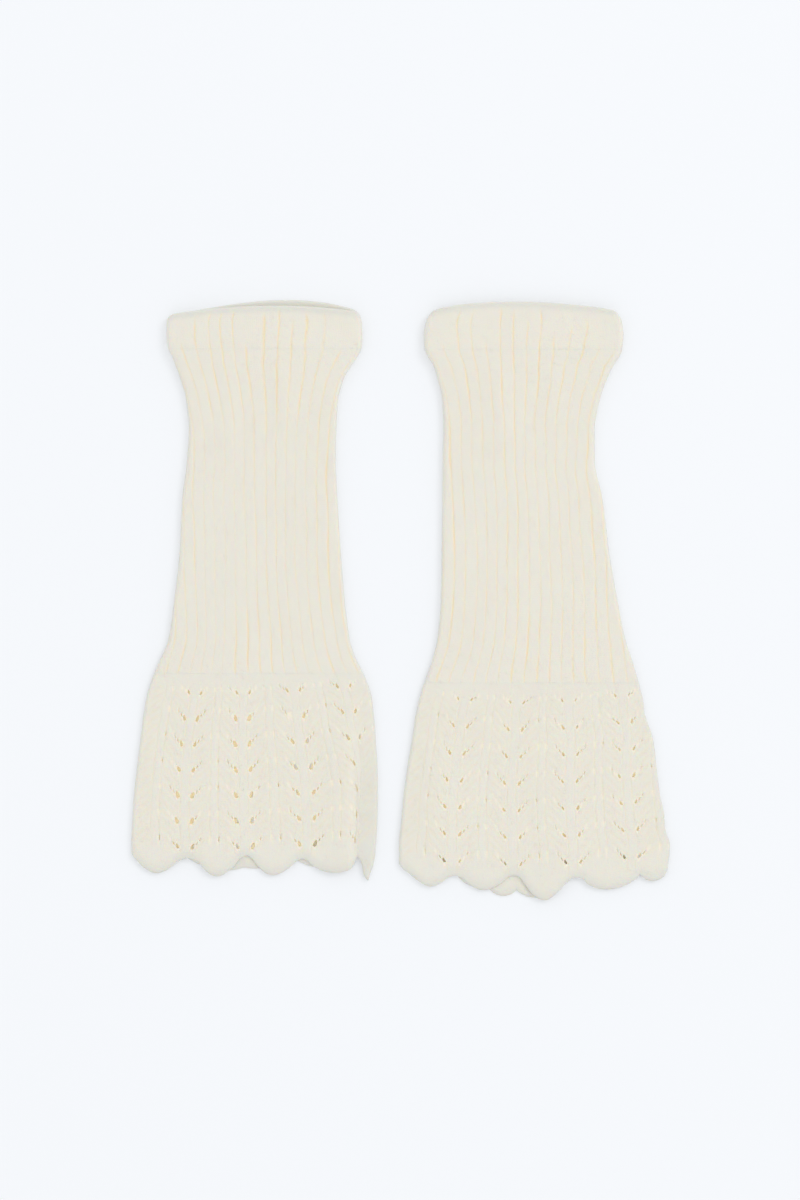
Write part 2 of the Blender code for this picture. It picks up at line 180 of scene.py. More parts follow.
# One row for each soft fold of the front layer: its place across, where it
# starts and ends, its reach to the left and right, and its height.
Fold = namedtuple("Fold", "across start end left right high")
FOLD_FADE = 22.0

LEFT_FOLDS = table(
    Fold,
    (60, 296, 430, 16, 4.5, 2.7),
    (-22, 34, 118, 9, 6, 1.1),
    (14, 34, 100, 6, 9, 1.3),
    (-40, 270, 420, 18, 22, 0.8),
)

RIGHT_FOLDS = table(
    Fold,
    (-16, 34, 112, 8, 7, 1.3),
    (20, 34, 96, 7, 9, 1.1),
    (24, 300, 435, 20, 18, 1.6),
    (-62, 290, 400, 10, 14, 1.2),
)

# One row for each groove of the rib on the front: where it starts, and how
# strong it is at the cuff, along the leg and at the leg's low end.
Groove = namedtuple("Groove", "rib start cuff leg low")

LEFT_GROOVES = table(
    Groove,
    (1, 30, 0.3, 0.4, 0.75),
    (2, 30, 0.3, 0.45, 0.7),
    (3, 36, 0.4, 0.6, 0.4),
    (4, 30, 0.6, 0.25, 0.35),
    (5, 14, 0.7, 0.25, 0.35),
    (6, 10, 0.75, 0.25, 0.3),
    (7, 8, 0.8, 0.25, 0.9),
    (8, 8, 0.7, 0.35, 1.1),
    (9, 31, 0.85, 0.5, 0.8),
    (10, 10, 1, 0.5, 0.8),
    (11, 8, 1.15, 0.5, 0.7),
    (12, 14, 0.75, 0.35, 0.5),
    (13, 10, 0.95, 0.3, 0.3),
    (14, 9, 0.5, 0.35, 0.5),
    (15, 36, 0.75, 0.55, 0.6),
    (16, 36, 0.4, 0.85, 0.4),
    (17, 36, 0.3, 0.55, 0.75),
)

RIGHT_GROOVES = table(
    Groove,
    (1, 31, 0.3, 0.9, 0.8),
    (2, 31, 0.5, 0.5, 0.5),
    (3, 8, 0.9, 0.4, 0.45),
    (4, 7, 0.6, 0.5, 0.5),
    (5, 29, 0.65, 0.45, 0.6),
    (6, 4, 0.95, 0.65, 0.55),
    (7, 3, 0.9, 0.7, 0.8),
    (8, 14, 0.7, 0.45, 1.1),
    (9, 6, 1.1, 0.4, 0.9),
    (10, 25, 0.75, 0.45, 0.7),
    (11, 17, 0.7, 0.45, 0.6),
    (12, 15, 0.85, 0.4, 0.7),
    (13, 31, 0.5, 0.45, 0.8),
    (14, 34, 0.6, 0.75, 0.6),
    (15, 40, 0.4, 0.6, 0.75),
    (16, 40, 0.3, 0.5, 0.6),
)

# One row for each height at which the ribs lean off their even places: how far
# aside the ribs of each column's number lie, in ribs.
Drift = namedtuple("Drift", "down at_3 at_6 at_9 at_10 at_13 at_16")
DRIFT_RIBS = [-12, 3, 6, 9, 10, 13, 16, 22]

LEFT_DRIFTS = table(
    Drift,
    (15, -1.2, -1.13, -1.38, -0.8, -0.55, 0.6),
    (32, -1.3, -1.05, -1.31, -0.88, -0.77, 0.5),
    (41, -1.35, -1.16, -1.31, -0.93, -0.54, 0.35),
    (55, -1.23, -1.07, -1, -0.66, -0.1, 0.26),
    (69, -1.2, -1, -0.84, -0.52, -0.16, 0.2),
    (83, -1, -0.8, -0.71, -0.48, -0.31, -0.04),
    (100, -0.74, -0.63, -0.69, -0.47, -0.42, -0.1),
    (125, -0.48, -0.4, -0.46, -0.26, -0.4, -0.32),
    (153, -0.2, -0.27, -0.22, -0.19, -0.39, -0.19),
    (181, -0.32, -0.29, -0.29, -0.3, -0.53, -0.29),
    (209, -0.04, -0.3, -0.19, -0.18, -0.31, -0.19),
    (237, 0.22, -0.2, 0.08, 0.13, 0.01, 0.23),
    (262, 0.2, -0.1, 0.1, 0.08, 0.12, 0.3),
    (274, 0.4, 0.15, 0.06, 0.05, 0.05, 0.05),
    (292, 0.28, 0.12, 0.1, 0.15, 0.25, 0.1),
    (310, 0.17, 0.06, 0.1, 0.2, 0.36, 0.45),
    (328, 0.1, 0.03, 0.08, 0.16, 0.36, 0.65),
    (346, 0.1, 0.05, 0.1, 0.2, 0.38, 0.58),
    (364, 0.08, 0.1, 0.2, 0.35, 0.45, 0.4),
    (382, 0.12, 0.18, 0.3, 0.42, 0.55, 0.2),
)

RIGHT_DRIFTS = table(
    Drift,
    (14, 0.71, 0.85, 0.88, 0.85, 1.43, 2),
    (31, 0.9, 0.91, 0.73, 0.75, 1.04, 1.7),
    (41, 0.89, 0.84, 0.78, 0.8, 0.96, 1.55),
    (55, 0.93, 0.93, 1.12, 1.11, 1.27, 1.65),
    (69, 0.92, 1, 1.25, 1.22, 1.37, 1.8),
    (83, 1.05, 1.29, 1.29, 1.31, 1.58, 1.8),
    (100, 1.03, 1.32, 1.41, 1.46, 1.56, 1.85),
    (125, 1.11, 1.31, 1.26, 1.31, 1.21, 1.45),
    (153, 1.17, 1.19, 1.14, 1.16, 1.06, 1.5),
    (181, 1.16, 0.96, 1.11, 1.07, 1.18, 1.45),
    (209, 1, 0.81, 0.96, 0.96, 0.97, 1.11),
    (237, 0.8, 0.56, 0.64, 0.6, 0.62, 0.94),
    (251, 0.54, 0.26, 0.42, 0.36, 0.26, 0.65),
    (262, 0.24, 0.08, 0.21, 0.18, 0.05, 0.4),
    (280, 0.12, 0.14, 0.08, 0.03, 0, 0.08),
    (299, -0.02, -0.04, -0.07, -0.08, -0.06, 0),
    (318, -0.19, -0.17, -0.16, -0.15, -0.18, -0.22),
    (355, -0.18, -0.16, -0.16, -0.16, -0.17, -0.18),
    (374, -0.07, -0.06, -0.09, -0.12, -0.17, -0.2),
    (393, -0.04, -0.03, -0.06, -0.08, -0.18, -0.38),
)

# A crease that hides part of the ribs from first to last: how far down it
# starts, and the share of those ribs' width that still shows.
Tuck = namedtuple("Tuck", "start first last keep")
TUCK_FADE = 55.0

# How far a cuff's edge rises between its corners, and where it is highest
Hump = namedtuple("Hump", "high at")

# A leg warmer: its place, its edges and its tables, in millimetres, and how far
# open its eyelets are.
Leg = namedtuple(
    "Leg",
    "name across top corner_left corner_right front_hump back_hump cuff_end "
    "lace_start first_row row_pitch open tuck sections hem folds grooves drifts",
)

LEFT = Leg(
    name="left",
    across=-96.6,
    top=209.3,
    corner_left=10.6,
    corner_right=9.2,
    front_hump=Hump(6.0, 0.52),
    back_hump=Hump(10.3, 0.6),
    cuff_end=34.0,
    lace_start=260.5,
    first_row=273.7,
    row_pitch=17.9,
    open=0.9,
    tuck=Tuck(290.0, 15.2, 16.5, 0.25),
    sections=LEFT_SECTIONS,
    hem=LEFT_HEM,
    folds=LEFT_FOLDS,
    grooves=LEFT_GROOVES,
    drifts=LEFT_DRIFTS,
)

RIGHT = Leg(
    name="right",
    across=86.8,
    top=208.6,
    corner_left=8.8,
    corner_right=7.6,
    front_hump=Hump(8.0, 0.42),
    back_hump=Hump(6.0, 0.5),
    cuff_end=33.6,
    lace_start=266.5,
    first_row=280.2,
    row_pitch=18.8,
    open=0.62,
    tuck=Tuck(290.0, 15.2, 16.5, 1.0),
    sections=RIGHT_SECTIONS,
    hem=RIGHT_HEM,
    folds=RIGHT_FOLDS,
    grooves=RIGHT_GROOVES,
    drifts=RIGHT_DRIFTS,
)


# The form of a leg warmer


def ease(value, start, end):
    """Smooth step from 0 at start to 1 at end."""
    share = np.clip((value - start) / (end - start), 0.0, 1.0)
    return share * share * (3.0 - 2.0 * share)


def bell(value, reach):
    return np.exp(-((value / reach) ** 2))


def column_at(rows, column, down):
    """A column's values at distances down, on a smooth curve through the rows."""
    places = np.array([row.down for row in rows])
    values = np.array([getattr(row, column) for row in rows])
    steps = np.diff(values) / np.diff(places)
    slopes = np.zeros(len(rows))
    together = steps[:-1] * steps[1:]
    turning = np.where(together > 0, steps[:-1] + steps[1:], 1.0)
    slopes[1:-1] = np.where(together > 0, 2.0 * together / turning, 0.0)
    down = np.clip(down, places[0], places[-1])
    i = np.clip(np.searchsorted(places, down, side="right") - 1, 0, len(rows) - 2)
    span = places[i + 1] - places[i]
    t = (down - places[i]) / span
    start = values[i] * (1 + 2 * t) * (1 - t) ** 2 + slopes[i] * span * t * (1 - t) ** 2
    end = values[i + 1] * t * t * (3 - 2 * t) + slopes[i + 1] * span * t * t * (t - 1)
    return start + end


def shows(leg, down, rib):
    """Ribs that show up to this one, less what the crease hides."""
    tuck = leg.tuck
    hidden = (1.0 - tuck.keep) * ease(down, tuck.start, tuck.start + TUCK_FADE)
    return rib - hidden * np.clip(rib - tuck.first, 0.0, tuck.last - tuck.first)


def round_the_tube(leg, down, rib):
    """Share of the way across from the left fold, and whether it is on the front."""
    first = column_at(leg.sections, "first", down)
    last = column_at(leg.sections, "last", down)
    turn = (rib - first) % RIBS
    front = turn <= last - first
    start, end = shows(leg, down, first), shows(leg, down, last)
    over = (shows(leg, down, first + turn) - start) / (end - start)
    under = (RIBS - turn) / (RIBS - last + first)
    return np.where(front, over, under), front


def lift(leg, down, across):
    """Height of the folds that raise the front layer."""
    high = np.zeros_like(across)
    for fold in leg.folds:
        reach = np.where(across < fold.across, fold.left, fold.right)
        rise = ease(down, fold.start, fold.start + FOLD_FADE)
        fall = 1.0 - ease(down, fold.end - FOLD_FADE, fold.end)
        high += fold.high * rise * fall * bell(across - fold.across, reach)
    return high


def place(leg, down, rib, depth):
    """Points on the cloth: down the leg, round it by rib, and depth under its outer face."""
    left = column_at(leg.sections, "left", down)
    right = column_at(leg.sections, "right", down)
    radius = column_at(leg.sections, "high", down) / 2
    share, front = round_the_tube(leg, down, rib)
    quarter = radius * math.pi / 2
    straight = left + right - 2 * radius
    run = share * (straight + 2 * quarter)
    turned_left = np.clip(run / radius, 0.0, math.pi / 2)
    turned_right = np.clip((run - quarter - straight) / radius, 0.0, math.pi / 2)
    aside = np.sin(turned_right) - np.cos(turned_left)
    up = np.sin(turned_left) * np.cos(turned_right)
    middle = np.clip(run - quarter, 0.0, straight)
    across = radius - left + middle + (radius - depth) * aside
    height = (radius - depth) * up
    raised = lift(leg, down, across) * ease(up, 0.0, 1.0)
    high = np.where(front, radius + height + raised, radius - height)
    return np.stack([leg.across + across, leg.top - down, high], axis=-1) * MM


def shown(leg, down, rib):
    """How far a point is from the folded sides, from 0 there to 1 a rib away."""
    share, _ = round_the_tube(leg, down, rib)
    return ease(np.minimum(share, 1.0 - share) * RIBS / 2, -0.2, 0.8)


def scallop_at(leg, rib):
    """Rows of the hem's table before and after each rib, and the share of the way between."""
    ribs = np.array([scallop.rib for scallop in leg.hem])
    rib = (rib - ribs[0]) % RIBS + ribs[0]
    here = np.searchsorted(ribs, rib, side="right") - 1
    after = (here + 1) % len(ribs)
    return here, after, (rib - ribs[here]) / ((ribs[after] - ribs[here]) % RIBS)


def hem_down(leg, rib):
    """Distance down of the scalloped hem."""
    here, after, share = scallop_at(leg, rib)
    notch = np.array([scallop.notch for scallop in leg.hem])
    lobe = np.array([scallop.lobe for scallop in leg.hem])
    edge = notch[here] + (notch[after] - notch[here]) * share
    swell = lobe[here] - (notch[here] + notch[after]) / 2
    curve = np.array([scallop.curve for scallop in leg.hem])
    return edge + swell * np.sin(math.pi * share) ** curve[here]


def lace_raised(leg, rib):
    """How far the lace rows are raised over each rib."""
    here, after, share = scallop_at(leg, rib)
    raised = np.array([scallop.raised for scallop in leg.hem])
    return raised[here] + (raised[after] - raised[here]) * ease(share, 0.0, 1.0)


# Grooves of the rib

GROOVE = 0.34  # depth, in millimetres
GROOVE_REACH = 0.62  # half of its width, in millimetres
CROWN = 0.1  # how far a rib's sides lie under its middle
GROOVE_STARTS = (2.0, 12.0)  # grooves deepen over this stretch at the top
CUFF_TO_LEG = (60.0, 95.0)  # the stretches over which their strength changes
LEG_TO_LOW = (205.0, 240.0)
GROOVE_UNEVEN = 0.4
WAVER = 0.03  # how far the grooves waver, in ribs
WAVER_LONG = 29.0
SIDE_PAINTED_SHADE = 0.55  # share of the painted edge shade at the folded sides and a cuff's top
FLAP_PAINTED_SHADE = 0.42  # and on the flap outside a crease
RIB_ENDS = (-4.0, 4.0)  # grooves fade out over this stretch round the lace's start
UNDER_GROOVE = 0.5  # strength of the grooves on the back


def noise_along(down, number, size):
    """Slow unevenness along each numbered groove, from -1 to 1."""
    wave = np.sin(down / size + 2.4 * number) + 0.6 * np.sin(down / size * 2.3 + 4.1 * number)
    return wave / 1.6


def drifted(leg, down, rib):
    """Where the ribs lie, off their even places."""
    turned = (rib - DRIFT_RIBS[0]) % RIBS + DRIFT_RIBS[0]
    straight = ease(down, leg.lace_start - 6.0, leg.lace_start)
    moved = rib + WAVER * noise_along(down, rib, WAVER_LONG) * (1.0 - straight)
    for n, column in enumerate(Drift._fields[1:]):
        share = np.interp(turned, DRIFT_RIBS, np.eye(len(DRIFT_RIBS))[n + 1])
        moved = moved + share * column_at(leg.drifts, column, down)
    return moved


def groove_strength(leg, down, number):
    """Strength of each numbered groove at a distance down."""
    start = np.zeros(RIBS + 1)
    cuff, along, low = (np.full(RIBS + 1, UNDER_GROOVE) for _ in range(3))
    for groove in leg.grooves:
        start[groove.rib] = groove.start
        cuff[groove.rib] = groove.cuff
        along[groove.rib] = groove.leg
        low[groove.rib] = groove.low
    number = number % RIBS
    strength = cuff[number] + (along - cuff)[number] * ease(down, *CUFF_TO_LEG)
    strength += (low - along)[number] * ease(down, *LEG_TO_LOW)
    strength *= ease(down, start[number] - 3.0, start[number] + 5.0)
    return strength * (1.0 + GROOVE_UNEVEN * noise_along(down, number, 9.0))


def rib_depth(leg, down, rib, at):
    """Depth of the rib's relief, and how much of it is groove, from 0 to 1.

    rib counts the ribs themselves, and at is where they lie round the tube.
    """
    wide = column_at(leg.sections, "left", down) + column_at(leg.sections, "right", down)
    shows_ribs = column_at(leg.sections, "last", down) - column_at(leg.sections, "first", down)
    number = np.round(rib).astype(int)
    reach = GROOVE_REACH * shows_ribs / wide
    groove = bell(rib - number, reach) * groove_strength(leg, down, number)
    crown = CROWN * np.cos(math.pi * rib) ** 2
    fade = 1.0 - ease(down - leg.lace_start, *RIB_ENDS)
    fade = fade * ease(down, *GROOVE_STARTS) * shown(leg, down, at)
    return (GROOVE * groove + crown) * fade, np.clip(groove * fade, 0.0, 1.0)


def flap_painted_shade(leg, down, rib):
    """Painted shade on the flap outside a leg's crease, which slopes away from the light, from 0 to
    1.
    """
    tuck = leg.tuck
    across = ease(rib, tuck.last - 0.2, tuck.last + 0.1) * (rib < tuck.last + 2.0)
    below = ease(down, tuck.start, tuck.start + TUCK_FADE)
    return (1.0 - tuck.keep) * FLAP_PAINTED_SHADE * below * across


def side_painted_shade(leg, down, rib):
    """Painted shade at the folded sides, where the cloth turns away from the light, from 0 to 1."""
    share, front = round_the_tube(leg, down, rib)
    from_side = np.minimum(share, 1.0 - share) * RIBS / 2
    tone = SIDE_PAINTED_SHADE - SIDE_PAINTED_SHADE * ease(from_side, 0.05, 0.5)
    return np.maximum(tone, flap_painted_shade(leg, down, rib % RIBS) * front)


def cuff_top(leg, rib):
    """Distance down of the cuff's top edge, which rises between its two corners."""
    share, front = round_the_tube(leg, np.full_like(rib, leg.sections[0].down), rib)
    corner = leg.corner_left + (leg.corner_right - leg.corner_left) * share
    edges = []
    for hump in (leg.back_hump, leg.front_hump):
        skewed = share ** (math.log(0.5) / math.log(hump.at))
        edges.append(corner - hump.high * np.abs(np.sin(math.pi * skewed)) ** CUFF_CURVE)
    return np.where(front, edges[1], edges[0])


# Meshes


def knit_tube(name, outer, inner, stitches, marks, cells, hidden_rows):
    """Closed wall of cloth round a tube.

    outer and inner hold a point for each row and column, stitches the wale
    and course there with one column more than the points, and cells says
    which cells between them are cloth. marks are the values of the point
    attributes, outside and inside. The edges of the hidden rows are left sharp.
    """
    rows, columns = outer.shape[:2]
    i, j = np.nonzero(cells)
    solid = np.zeros((rows + 1, columns), bool)
    solid[1:-1] = cells
    layers = rows * columns

    def corner(i, j, inside):
        return i * columns + j % columns + (layers if inside else 0)

    faces = [
        [(i, j, 0), (i + 1, j, 0), (i + 1, j + 1, 0), (i, j + 1, 0)],
        [(i, j, 1), (i, j + 1, 1), (i + 1, j + 1, 1), (i + 1, j, 1)],
    ]
    for missing, a, b in (
        (~solid[i, j], (0, 0), (0, 1)),
        (~solid[i + 2, j], (1, 1), (1, 0)),
        (~solid[i + 1, (j - 1) % columns], (1, 0), (0, 0)),
        (~solid[i + 1, (j + 1) % columns], (0, 1), (1, 1)),
    ):
        x, y = i[missing], j[missing]
        start, end = (x + a[0], y + a[1]), (x + b[0], y + b[1])
        faces.append([(*start, 0), (*end, 0), (*end, 1), (*start, 1)])
    corners = np.concatenate([np.stack([corner(*c) for c in face], axis=1) for face in faces])
    uv = np.concatenate(
        [np.stack([stitches[c[0], c[1]] for c in face], axis=1).reshape(-1, 2) for face in faces]
    )
    mesh = bpy.data.meshes.new(name)
    mesh.vertices.add(2 * layers)
    points = np.concatenate([outer.reshape(-1, 3), inner.reshape(-1, 3)])
    mesh.vertices.foreach_set("co", points.astype(np.float32).ravel())
    mesh.loops.add(corners.size)
    mesh.loops.foreach_set("vertex_index", corners.astype(np.int32).ravel())
    mesh.polygons.add(len(corners))
    mesh.polygons.foreach_set("loop_start", np.arange(0, corners.size, 4, dtype=np.int32))
    mesh.update(calc_edges=True)
    mesh.uv_layers.new(name="stitches").data.foreach_set("uv", uv.astype(np.float32).ravel())
    for label, values in marks.items():
        attribute = mesh.attributes.new(label, "FLOAT", "POINT")
        attribute.data.foreach_set("value", np.concatenate(values).astype(np.float32).ravel())
    edges = np.zeros(len(mesh.edges) * 2, np.int32)
    mesh.edges.foreach_get("vertices", edges)
    in_rows = np.isin((edges % layers) // columns, hidden_rows).reshape(-1, 2).all(axis=1)
    mesh.attributes.new("sharp_edge", "BOOLEAN", "EDGE").data.foreach_set("value", in_rows)
    mesh.validate()
    loose = np.ones(2 * layers, bool)
    loose[corners.ravel()] = False
    return without_loose(mesh, loose)


def without_loose(mesh, loose):
    """The mesh without the points that no face uses."""
    if not loose.any():
        return mesh
    work = bmesh.new()
    work.from_mesh(mesh)
    work.verts.ensure_lookup_table()
    bmesh.ops.delete(work, geom=[work.verts[n] for n in np.nonzero(loose)[0]], context="VERTS")
    work.to_mesh(mesh)
    work.free()
    return mesh


def add_object(name, data):
    thing = bpy.data.objects.new(name, data)
    bpy.context.scene.collection.objects.link(thing)
    return thing


def piece(mesh, material, nodes):
    """Finished stretch of cloth, which stands for its solids and lies on the floor."""
    mesh.materials.append(material)
    thing = add_object(mesh.name, mesh)
    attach(thing, "root")
    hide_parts(*nodes)
    return thing


# Columns of points in each rib, and rows of points
FRONT_RIBS = 18
FRONT_OFFSETS = (0.0, 0.05, 0.1, 0.16, 0.26, 0.5, 0.74, 0.84, 0.9, 0.95)
BACK_OFFSETS = (0.0, 0.1, 0.28, 0.5, 0.72, 0.9)
ROUND_OVER = (82, 62, 42, 22, 8)  # degrees round the cuff's turned edge
CUFF_ROWS = 20
LEG_ROWS = 108


def tube_columns():
    """Columns round the tube, rib after rib: many on the front, few underneath."""
    columns = []
    for rib in range(RIBS):
        columns += [rib + off for off in (FRONT_OFFSETS if rib < FRONT_RIBS else BACK_OFFSETS)]
    return np.array(columns)


def rib_stitches(down, ribs):
    """Wale and course at each point, with the first column again at the end."""
    wale = np.concatenate([ribs, [RIBS]]) * WALES
    down = np.concatenate([down, down[:, :1]], axis=1)
    return np.stack([np.broadcast_to(wale, down.shape), down / COURSE], axis=-1)


def slipped_under(down, first):
    """How much deeper a stretch's upper end lies, under the stretch above it."""
    return 0.5 * (1.0 - ease(down, first, first + 1.6))


def cuff_mesh(leg):
    """Doubled cuff: turned over at the top and down again inside."""
    ribs = tube_columns()
    round_over = np.radians(ROUND_OVER)
    shares = np.linspace(0.0, 1.0, CUFF_ROWS)[1:]
    radius = CUFF_WALL / 2
    top = cuff_top(leg, drifted(leg, np.full_like(ribs, 10.0), ribs) % RIBS)[None, :]
    start = top + radius
    lip = start - radius * np.sin(round_over)[:, None]
    body = start + (leg.cuff_end + 0.1 - start) * shares[:, None]
    down = np.concatenate([lip, body])
    rib = np.broadcast_to(ribs[None, :], down.shape)
    lip_depth = np.broadcast_to(radius * (1 - np.cos(round_over))[:, None], lip.shape)
    depth = np.concatenate([lip_depth, np.zeros(body.shape)])
    at = drifted(leg, down, rib)
    relief, groove = rib_depth(leg, down, rib, at)
    outer = place(leg, down, at, depth + relief)
    inner = place(leg, down, at, CUFF_WALL - depth)
    # painted shade on the cuff's rolled top edge and at its folded sides, in the edge mark
    rolled = 1.0 - ease(down, start, start + 5.0)
    edge = np.maximum(SIDE_PAINTED_SHADE * rolled, side_painted_shade(leg, down, at))
    plain = 0 * down
    marks = {"groove": (groove, plain), "inside": (plain, plain), "edge": (edge, edge)}
    last = down.shape[0] - 1
    cells = np.ones((last, len(ribs)), bool)
    stitches = rib_stitches(down, ribs)
    return knit_tube(f"{leg.name}_cuff_knit", outer, inner, stitches, marks, cells, [last])


def leg_mesh(leg):
    """Single wall of wide rib, from under the cuff to the lace."""
    ribs = tube_columns()
    first = leg.cuff_end - OVERLAP
    close = [first, first + 0.8, leg.cuff_end - 0.6]
    downs = np.concatenate([close, np.linspace(leg.cuff_end + 0.4, leg.lace_start, LEG_ROWS)])
    down = np.broadcast_to(downs[:, None], (len(downs), len(ribs)))
    rib = np.broadcast_to(ribs[None, :], down.shape)
    at = drifted(leg, down, rib)
    relief, groove = rib_depth(leg, down, rib, at)
    under = 0.05 * (1.0 - ease(down, leg.cuff_end, leg.cuff_end + 3.0))
    under = under + slipped_under(down, first)
    outer = place(leg, down, at, relief + under)
    inner = place(leg, down, at, np.full(down.shape, LEG_WALL))
    plain = 0 * down
    # painted shade at the folded sides, in the edge mark
    edge = side_painted_shade(leg, down, at)
    marks = {"groove": (groove, plain), "inside": (plain, plain), "edge": (edge, plain)}
    last = len(downs) - 1
    cells = np.ones((last, len(ribs)), bool)
    stitches = rib_stitches(down, ribs)
    return knit_tube(f"{leg.name}_rib_knit", outer, inner, stitches, marks, cells, [0, last])


# Lace

# One row for each kind of eyelet on an arm of a chevron: how far from the
# chevron's middle it is and how wide, in ribs, how far under the arm's line it
# is and how high, in lace rows, and the share of them that have closed up.
Eyelet = namedtuple("Eyelet", "off half_wide under half_high closed")

EYELETS = table(
    Eyelet,
    (0.52, 0.15, 0.0, 0.135, 0.02),
    (0.80, 0.045, 0.0, 0.055, 0.25),
    (1.02, 0.045, 0.0, 0.055, 0.35),
    (1.72, 0.04, 0.26, 0.08, 0.65),
)

# Columns of points on each side of a chevron's middle, in ribs, and rows of
# points round each lace row, above the first and below the last.
HALF_FRONT = (
    0.0, 0.13, 0.23, 0.29, 0.33, 0.37, 0.42, 0.47, 0.52, 0.57, 0.62, 0.67, 0.71, 0.755, 0.8, 0.845,
    0.9, 0.975, 1.02, 1.065, 1.2, 1.34, 1.48, 1.6, 1.68, 1.72, 1.76, 1.88, 2.0,
)
HALF_BACK = (0.0, 0.22, 0.37, 0.52, 0.67, 0.755, 0.845, 1.1, 1.4, 1.72, 2.0)
ROW_STEPS = (
    -0.42, -0.33, -0.25, -0.19, -0.135, -0.055, 0.0,
    0.055, 0.135, 0.18, 0.23, 0.28, 0.34, 0.42, 0.5,
)
LACE_TOP = -0.2  # lace row from which the cloth runs up to the rib
LACE_LOW = 6.2  # lace row from which it runs down to the hem
TOP_STEPS = (-1.0, -0.96, -0.88, -0.76, -0.62, -0.48, -0.34, LACE_TOP)
HEM_STEPS = (6.3, 6.4, 6.5, 6.6, 6.7, 6.78, 6.85, 6.91, 6.96, 7.0)
ARM_RIBS = (0.6, 1.1, 1.6)  # ribs from a chevron's middle
ARM_RISES = (0.0, 6.0, 10.5)  # how far its arms have risen there
FIRST_ARM = 0.55  # steepness of the first row's arms

EYELET_SIZES = (0.8, 1.08)
FIRST_CLOSED = 0.4  # how many more of the first row's small ones have closed up
FIRST_SIZE = 0.7  # how large that row's are
LAST_ON_FLAP = 2  # the last row with eyelets on the flap outside a crease
FLAP_CLEAR = 0.6  # ribs between an eyelet's middle and that flap
EYELET_NEAR = 3  # rows and columns of points that an eyelet draws along
EYELET_REACH = 2.2  # how far it draws them, in halves of its size
EYELET_LEAN = 0.3
EYELET_TAPER = 0.25
RIM_REACH = 1.9  # how far its rim is rounded
RIM_OUTER = 0.45  # how deep, on the outer and the inner face
RIM_INNER = 0.35
CLOSED_RIM = 0.6  # share of that where it has closed up
THINNEST = 0.3
HEM_PAINTED_SHADE = 0.35  # share of the painted edge shade near the hem
HEM_ROLL_PAINTED_SHADE = 0.4  # and what its rolled edge adds


def lace_down(leg, row, rib):
    """Distance down of a lace row, whose arms rise from the chevron's middle."""
    off = np.abs((rib - FIRST_POINT + 2) % REPEAT - 2)
    on_line = np.clip(row, LACE_TOP, LACE_LOW)
    steep = FIRST_ARM + (1.0 - FIRST_ARM) * np.clip(on_line, 0.0, 1.0)
    rise = np.interp(off, ARM_RIBS, ARM_RISES) * leg.row_pitch / LEFT.row_pitch
    at = drifted(leg, np.full_like(rib, leg.first_row + LACE_LOW * leg.row_pitch), rib)
    line = leg.first_row + on_line * leg.row_pitch - steep * rise - lace_raised(leg, at)
    top = np.clip((LACE_TOP - row) / (LACE_TOP + 1.0), 0.0, 1.0)
    line = line + (leg.lace_start - OVERLAP - line) * top
    low = np.clip((row - LACE_LOW) / (LACE_ROWS - LACE_LOW), 0.0, 1.0)
    return line + (hem_down(leg, at) - line) * low


def lace_columns():
    """Columns round the flare: close on the front, wider underneath."""
    ribs = set()
    for point in range(-1, RIBS // REPEAT + 1):
        middle = FIRST_POINT + point * REPEAT
        for halves, start, end in ((HALF_FRONT, -0.5, 18.5), (HALF_BACK, 18.5, RIBS - 0.5)):
            near = [middle + side * off for off in halves for side in (-1, 1)]
            ribs |= {round(rib, 3) for rib in near if start <= rib < end}
    return np.array(sorted(ribs))


def lace_rows():
    rows = list(TOP_STEPS)
    for row in range(LACE_ROWS):
        rows += [row + step for step in ROW_STEPS if LACE_TOP < row + step <= LACE_LOW]
    return np.array(sorted(set(np.round(rows + list(HEM_STEPS), 4))))


def nearest(values, value):
    return int(np.argmin(np.abs(values - value)))


